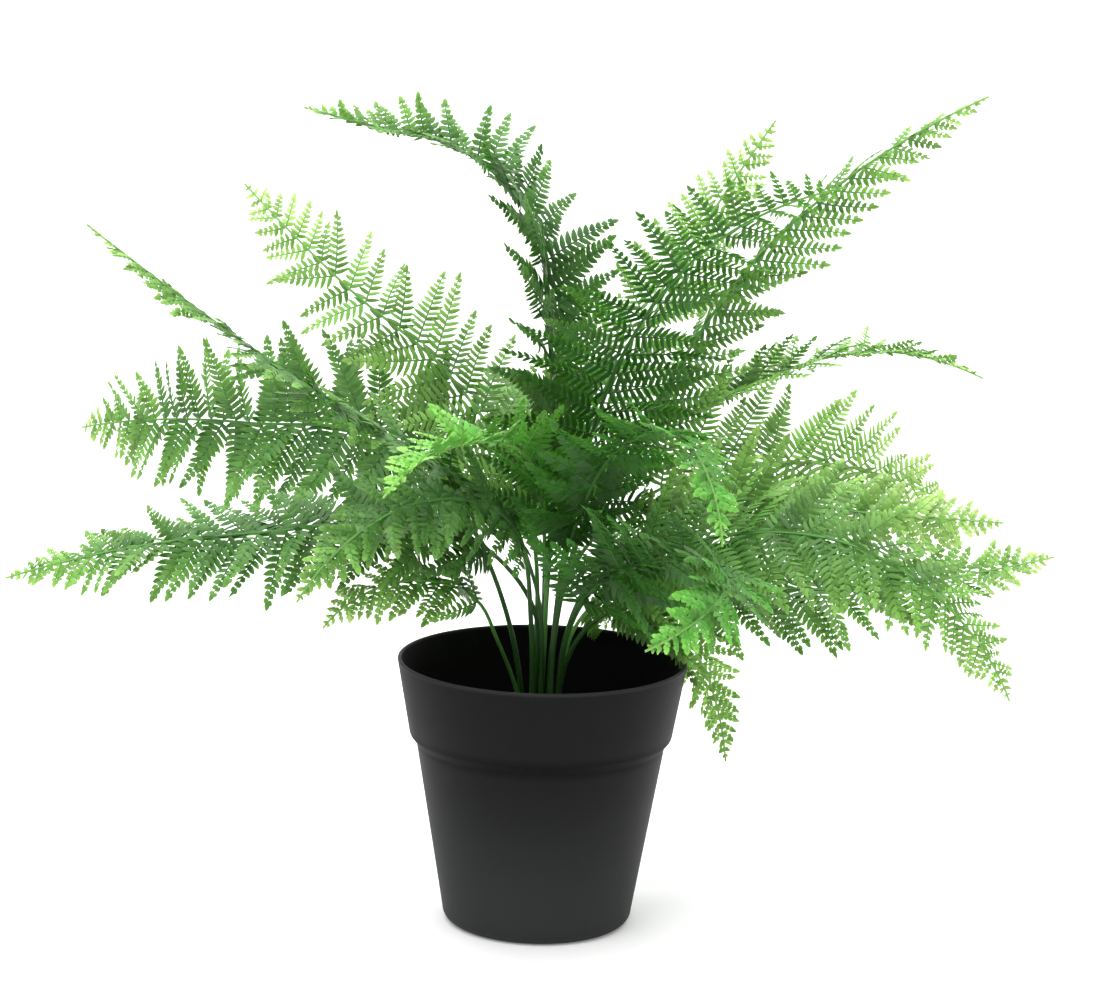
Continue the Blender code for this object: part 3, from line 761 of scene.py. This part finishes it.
def comb_pitch(pairs):
    """Distance between the leaflets of a pinna that has so many pairs."""
    grown = min(pairs / FULL_PAIRS, 1)
    return LEAFLET_PITCH * (SHORT_PITCH_SHARE + (1 - SHORT_PITCH_SHARE) * grown)


def comb_length(pairs):
    """Length of a pinna that has so many pairs of leaflets. With none it is one leaflet."""
    if pairs == 0:
        return SINGLE_LENGTH
    return ROOT_GAP + comb_pitch(pairs) * (pairs + END_LEAFLET_SHARE * 0.5)


def rachilla(length):
    """The pinna's own midrib: a tapering tube from inside the rib to near the pinna's tip."""
    bm = leaf_bmesh()
    bmesh.ops.create_cone(
        bm, cap_ends=True, segments=RACHILLA_SIDES, radius1=1, radius2=1, depth=1,
        matrix=Matrix.Translation((0.5, 0, 0)) @ Matrix.Rotation(math.pi / 2, 4, "Y"),
    )
    sides = [e for e in bm.edges if abs((e.verts[0].co - e.verts[1].co).x) > 0.5]
    bmesh.ops.subdivide_edges(bm, edges=sides, cuts=RACHILLA_STEPS - 1)
    growth = bm.verts.layers.float_color["growth"]
    for v in bm.verts:
        radius = RACHILLA_RADIUS[0] + (RACHILLA_RADIUS[1] - RACHILLA_RADIUS[0]) * v.co.x
        v.co = Vector((v.co.x * length, v.co.y * radius, v.co.z * radius))
        v[growth] = (0, MIDDLE_SHADE, RACHILLA_STEM_SHARE, 1)
    return bm


def comb_mesh(leaflet, width_share, pairs, variant):
    """A flat pinna along +X with its pairs of leaflets, at its natural size."""
    chance = random.Random(f"comb {pairs} {variant}")
    length = comb_length(pairs)
    if pairs == 0:
        bm = leaf_bmesh()
        lay_leaflet(bm, leaflet, (0, 0, 0), 0, length, length * SINGLE_WIDTH_SHARE, chance)
        return as_mesh("leaflet", bm)
    young = 1 - min(pairs / FULL_PAIRS, 1)
    pitch = comb_pitch(pairs)
    end = pitch * END_LEAFLET_SHARE
    width = pitch * width_share * (1 + SHORT_WIDTH_GAIN * young)
    half = length * PINNA_WIDTH_SHARE * (1 + SHORT_REACH_GAIN * young) / 2
    bm = rachilla(length - end / 2)
    for pair in range(pairs):
        for side in (1, -1):
            u = ROOT_GAP + pitch * (pair + (LEAFLET_STAGGER if side > 0 else 0))
            reach = half * (1 - (u / length) ** PINNA_TAPER) * (1 + LEAFLET_UNEVEN * chance.uniform(-1, 1))
            angle = side * (LEAFLET_ANGLE - LEAFLET_LEAN * u / length)
            place = (u, side * RACHILLA_RADIUS[0] * LEAFLET_ROOT, 0)
            lay_leaflet(bm, leaflet, place, angle, max(reach, end * LEAST_REACH_SHARE), width, chance)
    lay_leaflet(bm, leaflet, (length - end, 0, 0), 0, end, width * END_WIDTH_SHARE, chance)
    for v in bm.verts:
        out = v.co.y * v.co.y / half
        v.co.x += LEAFLET_SWEEP * out
        v.co.z -= LEAFLET_DROOP * out
    return as_mesh("comb", bm)


def add_pinna(bm, combs, rib, frond, growth, chance):
    """Lays the comb whose natural length is nearest along a pinna."""
    pairs = min(range(len(combs)), key=lambda count: abs(comb_length(count) - growth.length))
    mesh = combs[pairs][chance.randrange(COMB_VARIANTS)]
    scale = growth.length / comb_length(pairs)
    pinna = Pinna(rib, growth)
    fresh = freshness(rib, frond, growth.mark) + FRESH_UNEVEN * chance.uniform(-1, 1)
    shade = chance.random()
    layer = bm.verts.layers.float_color["growth"]
    for v in laid_in(bm, mesh):
        u = v.co.x * scale
        _, leaflet_shade, stem, _ = v[layer]
        v[layer] = (
            fresh + FRESH_PINNA_TIP * u / growth.length,
            PINNA_SHADE_SHARE * shade + (1 - PINNA_SHADE_SHARE) * leaflet_shade,
            stem,
            1,
        )
        v.co = pinna.place(u, v.co.y * scale, v.co.z)


def add_rib(bm, rib, frond):
    """The stalk and rib: a ring of corners drawn along the curve, grooved on the upper side."""
    corner = bm.verts.layers.int.new("corner")
    growth = bm.verts.layers.float_color["growth"]
    ring = bmesh.ops.create_circle(bm, cap_ends=False, segments=RIB_SIDES, radius=1)["verts"]
    for i, v in enumerate(ring):
        v[corner] = i
    steps = math.ceil(rib.length / RIB_STEP)
    for step in range(steps + 1):
        mark = (rib.length - TIP_WIDTH / 2) * step / steps
        if step:
            edges = {e for v in ring for e in v.link_edges if all(end in ring for end in e.verts)}
            made = bmesh.ops.extrude_edge_only(bm, edges=list(edges))["geom"]
            ring = [g for g in made if isinstance(g, bmesh.types.BMVert)]
        place, _, side, normal = rib.at(mark)
        radius = rib_width(rib, mark) / 2
        # Partly painted shade: the stalk is darker towards its foot, and the rib lighter towards its tip.
        fresh = freshness(rib, frond, mark) + RIB_LIGHTENING_AND_PAINTED_STALK_SHADE * mark / rib.length
        for v in ring:
            turn = 2 * math.pi * v[corner] / RIB_SIDES
            reach = radius * ((1 - GROOVE_DEPTH) if v[corner] == 0 else 1)
            v.co = place + normal * math.cos(turn) * reach + side * math.sin(turn) * reach
            v[growth] = (fresh, MIDDLE_SHADE, 1, 1)
        if step == 0:
            bottom = list(ring)
    bmesh.ops.contextual_create(bm, geom=bottom)
    bmesh.ops.contextual_create(bm, geom=ring)
    bmesh.ops.recalc_face_normals(bm, faces=list(bm.faces))


def build_frond(frond, rib, growths, combs, finish):
    chance = random.Random("leaves of " + frond.name)
    bm = leaf_bmesh()
    add_rib(bm, rib, frond)
    for growth in growths:
        add_pinna(bm, combs, rib, frond, growth, chance)
    made = piece("fern_frond_" + frond.name, bm, finish)
    made.data.shade_smooth()
    made.data.set_sharp_from_angle(angle=LEAF_CREASE)
    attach(made, "root")
    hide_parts("frond_" + frond.name)


# Pot and compost


def corner_arc(centre, radius, first, last, segments):
    """Points of a round corner in a turned profile, from angle first to last in degrees."""
    turns = [math.radians(first + (last - first) * i / segments) for i in range(segments + 1)]
    return [(centre[0] + radius * math.cos(t), centre[1] + radius * math.sin(t)) for t in turns]


def eased(before, here, after, radius, segments=4):
    """A small round where a turned profile turns at here."""
    back = (Vector(before) - Vector(here)).normalized() * radius
    on = (Vector(after) - Vector(here)).normalized() * radius
    points = []
    for i in range(segments + 1):
        t = i / segments
        points.append(tuple(Vector(here) + back * (1 - t) ** 2 + on * t ** 2))
    return points


def spun(bm, profile, steps):
    """Turns a profile of (radius, height) points about the axis into a closed shell."""
    verts = [bm.verts.new((r, 0, z)) for r, z in profile]
    edges = [bm.edges.new(pair) for pair in zip(verts, verts[1:])]
    bmesh.ops.spin(
        bm, geom=verts + edges, cent=(0, 0, 0), axis=(0, 0, 1), angle=2 * math.pi, steps=steps, use_merge=True
    )
    bmesh.ops.remove_doubles(bm, verts=list(bm.verts), dist=MERGE)
    bmesh.ops.recalc_face_normals(bm, faces=list(bm.faces))


def side_radius(height):
    """Outer radius of the pot's tapered side, below the band."""
    slope = (STEP_FOOT_RADIUS - BASE_SIDE_RADIUS) / (STEP_FOOT_HEIGHT - BASE_CORNER_RADIUS)
    return BASE_SIDE_RADIUS + slope * (height - BASE_CORNER_RADIUS)


def build_pot(finish):
    """The pot's wall as one closed turned profile: up the inside, over the lip, down the outside."""
    lip = POT_WALL / 2
    inner = BASE_CORNER_RADIUS - POT_WALL
    floor_corner = (BASE_SIDE_RADIUS - BASE_CORNER_RADIUS, POT_FLOOR + inner)
    rim_inside = (RIM_RADIUS - POT_WALL, POT_HEIGHT - lip)
    step_inside = (STEP_FOOT_RADIUS - POT_WALL, STEP_FOOT_HEIGHT)
    band_inside = (BAND_FOOT_RADIUS - POT_WALL, BAND_FOOT_HEIGHT)
    profile = [(0, POT_FLOOR)] + corner_arc(floor_corner, inner, -90, 0, INNER_CORNER_STEPS)
    profile += eased(profile[-1], step_inside, band_inside, POT_EDGE_ROUND)
    profile += eased(step_inside, band_inside, rim_inside, POT_EDGE_ROUND)
    profile += corner_arc((RIM_RADIUS - lip, POT_HEIGHT - lip), lip, 180, 0, OUTER_CORNER_STEPS)
    band_foot = (BAND_FOOT_RADIUS, BAND_FOOT_HEIGHT)
    step_foot = (STEP_FOOT_RADIUS, STEP_FOOT_HEIGHT)
    base_side = (BASE_SIDE_RADIUS, BASE_CORNER_RADIUS)
    profile += eased(profile[-1], band_foot, step_foot, POT_EDGE_ROUND)
    profile += eased(band_foot, step_foot, base_side, POT_EDGE_ROUND)
    base_corner = (BASE_SIDE_RADIUS - BASE_CORNER_RADIUS, BASE_CORNER_RADIUS)
    profile += corner_arc(base_corner, BASE_CORNER_RADIUS, 0, -90, OUTER_CORNER_STEPS)
    profile += [(GATE_RADIUS, 0), (GATE_RADIUS * GATE_NARROWING, GATE_DEPTH), (0, GATE_DEPTH)]
    bm = bmesh.new()
    spun(bm, profile, POT_STEPS)
    made = piece("pot_shell", bm, finish)
    made.data.shade_smooth()
    made.data.set_sharp_from_angle(angle=POT_CREASE)
    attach(made, "root")
    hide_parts("pot")


def build_compost(finish):
    """The compost as one turned mound with a rough top, and loose crumbs sunk into it."""
    inner_edge = side_radius(SOIL_EDGE_HEIGHT) - POT_WALL - SOIL_GAP
    foot_height = POT_FLOOR + BASE_CORNER_RADIUS
    foot_edge = side_radius(foot_height) - POT_WALL - SOIL_GAP
    floor_edge = BASE_SIDE_RADIUS - BASE_CORNER_RADIUS
    top = []
    for i in range(SOIL_ROWS + 1):
        r = inner_edge * i / SOIL_ROWS
        if r < SOIL_SHOULDER[0]:
            z = SOIL_MOUND_HEIGHT + (SOIL_SHOULDER[1] - SOIL_MOUND_HEIGHT) * r / SOIL_SHOULDER[0]
        else:
            t = (r - SOIL_SHOULDER[0]) / (inner_edge - SOIL_SHOULDER[0])
            z = SOIL_SHOULDER[1] + (SOIL_EDGE_HEIGHT - SOIL_SHOULDER[1]) * t
        top.append((r, z))
    profile = top + [(foot_edge, foot_height), (floor_edge, POT_FLOOR + SOIL_GAP), (0, POT_FLOOR + SOIL_GAP)]
    bm = bmesh.new()
    spun(bm, profile, SOIL_STEPS)
    surface = [v for v in bm.verts if v.co.z > SOIL_EDGE_HEIGHT + SOIL_SMOOTH_EDGE]
    for v in surface:
        v.co.z += SOIL_ROUGHNESS * noise.fractal(v.co / SOIL_LUMP, *SOIL_FRACTAL)
    chance = random.Random("crumbs")
    for _ in range(CRUMBS):
        size = chance.random() ** CRUMB_SMALLNESS
        radius = CRUMB_RADIUS[0] + (CRUMB_RADIUS[1] - CRUMB_RADIUS[0]) * size
        reach = (inner_edge - radius - SOIL_GAP) * math.sqrt(chance.random())
        turn = chance.uniform(0, 2 * math.pi)
        share = (reach / inner_edge) ** SOIL_MOUND_CURVE
        z = SOIL_MOUND_HEIGHT + (SOIL_EDGE_HEIGHT - SOIL_MOUND_HEIGHT) * share + radius * CRUMB_LIFT
        crumb = bmesh.ops.create_icosphere(
            bm, subdivisions=1, radius=radius,
            matrix=Matrix.Translation((reach * math.cos(turn), reach * math.sin(turn), z))
            @ Matrix.Rotation(chance.uniform(0, 3), 4, (chance.random(), chance.random(), 0.5))
            @ Matrix.Diagonal((1, chance.uniform(*CRUMB_BREADTH), chance.uniform(*CRUMB_THICKNESS), 1)),
        )["verts"]
        for v in crumb:
            v.co += noise.noise_vector(v.co / CRUMB_DENT) * radius * CRUMB_DENT_DEPTH
    made = piece("compost_mound", bm, finish)
    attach(made, "root")
    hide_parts("soil")


# Studio


def build_studio():
    """A white sheet that runs back along the floor and curves up behind."""
    bm = bmesh.new()
    curve = corner_arc((SHEET_BACK, SHEET_CURVE), SHEET_CURVE, -90, 0, SHEET_CURVE_STEPS)
    profile = [(-SHEET_HALF, 0)] + curve + [(SHEET_BACK + SHEET_CURVE, SHEET_TOP)]
    verts = [bm.verts.new((-SHEET_HALF, y, z)) for y, z in profile]
    edges = [bm.edges.new(pair) for pair in zip(verts, verts[1:])]
    made = bmesh.ops.extrude_edge_only(bm, edges=edges)["geom"]
    moved = [g for g in made if isinstance(g, bmesh.types.BMVert)]
    bmesh.ops.translate(bm, vec=(2 * SHEET_HALF, 0, 0), verts=moved)
    bmesh.ops.recalc_face_normals(bm, faces=list(bm.faces))
    sweep = piece("studio_sweep", bm, studio_acrylic())
    sweep.data.shade_smooth()


def add_soft_box(box):
    data = bpy.data.lights.new(box.name, "AREA")
    data.shape = "RECTANGLE"
    data.size, data.size_y = box.size
    data.energy = box.power
    lamp = bpy.data.objects.new(box.name, data)
    bpy.context.scene.collection.objects.link(lamp)
    lamp.location = box.place
    lamp.rotation_euler = (Vector(box.aim) - Vector(box.place)).to_track_quat("-Z", "Y").to_euler()


def build_light():
    world = bpy.data.worlds.new("white_room")
    world.use_nodes = True
    sky = world.node_tree.nodes["Background"]
    sky.inputs["Color"].default_value = linear("#ffffff")
    sky.inputs["Strength"].default_value = ROOM_LIGHT
    bpy.context.scene.world = world
    for box in SOFT_BOXES:
        add_soft_box(box)


def build_camera():
    data = bpy.data.cameras.new("camera")
    data.lens = CAMERA_LENS
    data.sensor_fit = "HORIZONTAL"
    data.sensor_width = CAMERA_SENSOR
    camera = bpy.data.objects.new("camera", data)
    bpy.context.scene.collection.objects.link(camera)
    look = (CAMERA_AIM - CAMERA_PLACE).to_track_quat("-Z", "Y")
    camera.location = CAMERA_PLACE
    camera.rotation_euler = (look @ Quaternion((0, 0, 1), CAMERA_ROLL)).to_euler()
    bpy.context.scene.camera = camera


# Assembly


build_camera()
build_light()
build_studio()
bpy.context.scene.view_settings.view_transform = "Standard"

soft_leaf = leaf_plastic("moulded_leaf_polyethylene", SOFT_GREENS)
vivid_leaf = leaf_plastic("vivid_moulded_leaf_polyethylene", VIVID_GREENS)
ribs = {frond.name: Rib(frond) for frond in FRONDS}
growths = choose_growths(ribs)
leaflet = unit_leaflet()
most_pairs = math.ceil(max(frond.leaf for frond in FRONDS) * (1 + UNEVEN_LENGTH) * MM / LEAFLET_PITCH)
full_combs, slim_combs = [
    [
        [comb_mesh(leaflet, share, pairs, variant) for variant in range(COMB_VARIANTS)]
        for pairs in range(most_pairs)
    ]
    for share in (FULL_WIDTH_SHARE, SLIM_WIDTH_SHARE)
]
for frond in FRONDS:
    finish = vivid_leaf if frond.name in VIVID_FRONDS else soft_leaf
    combs = slim_combs if frond.name in OPEN_FRONDS else full_combs
    build_frond(frond, ribs[frond.name], growths[frond.name], combs, finish)
for mesh in [leaflet] + sum(full_combs + slim_combs, []):
    bpy.data.meshes.remove(mesh)
build_pot(pot_plastic())
build_compost(compost())
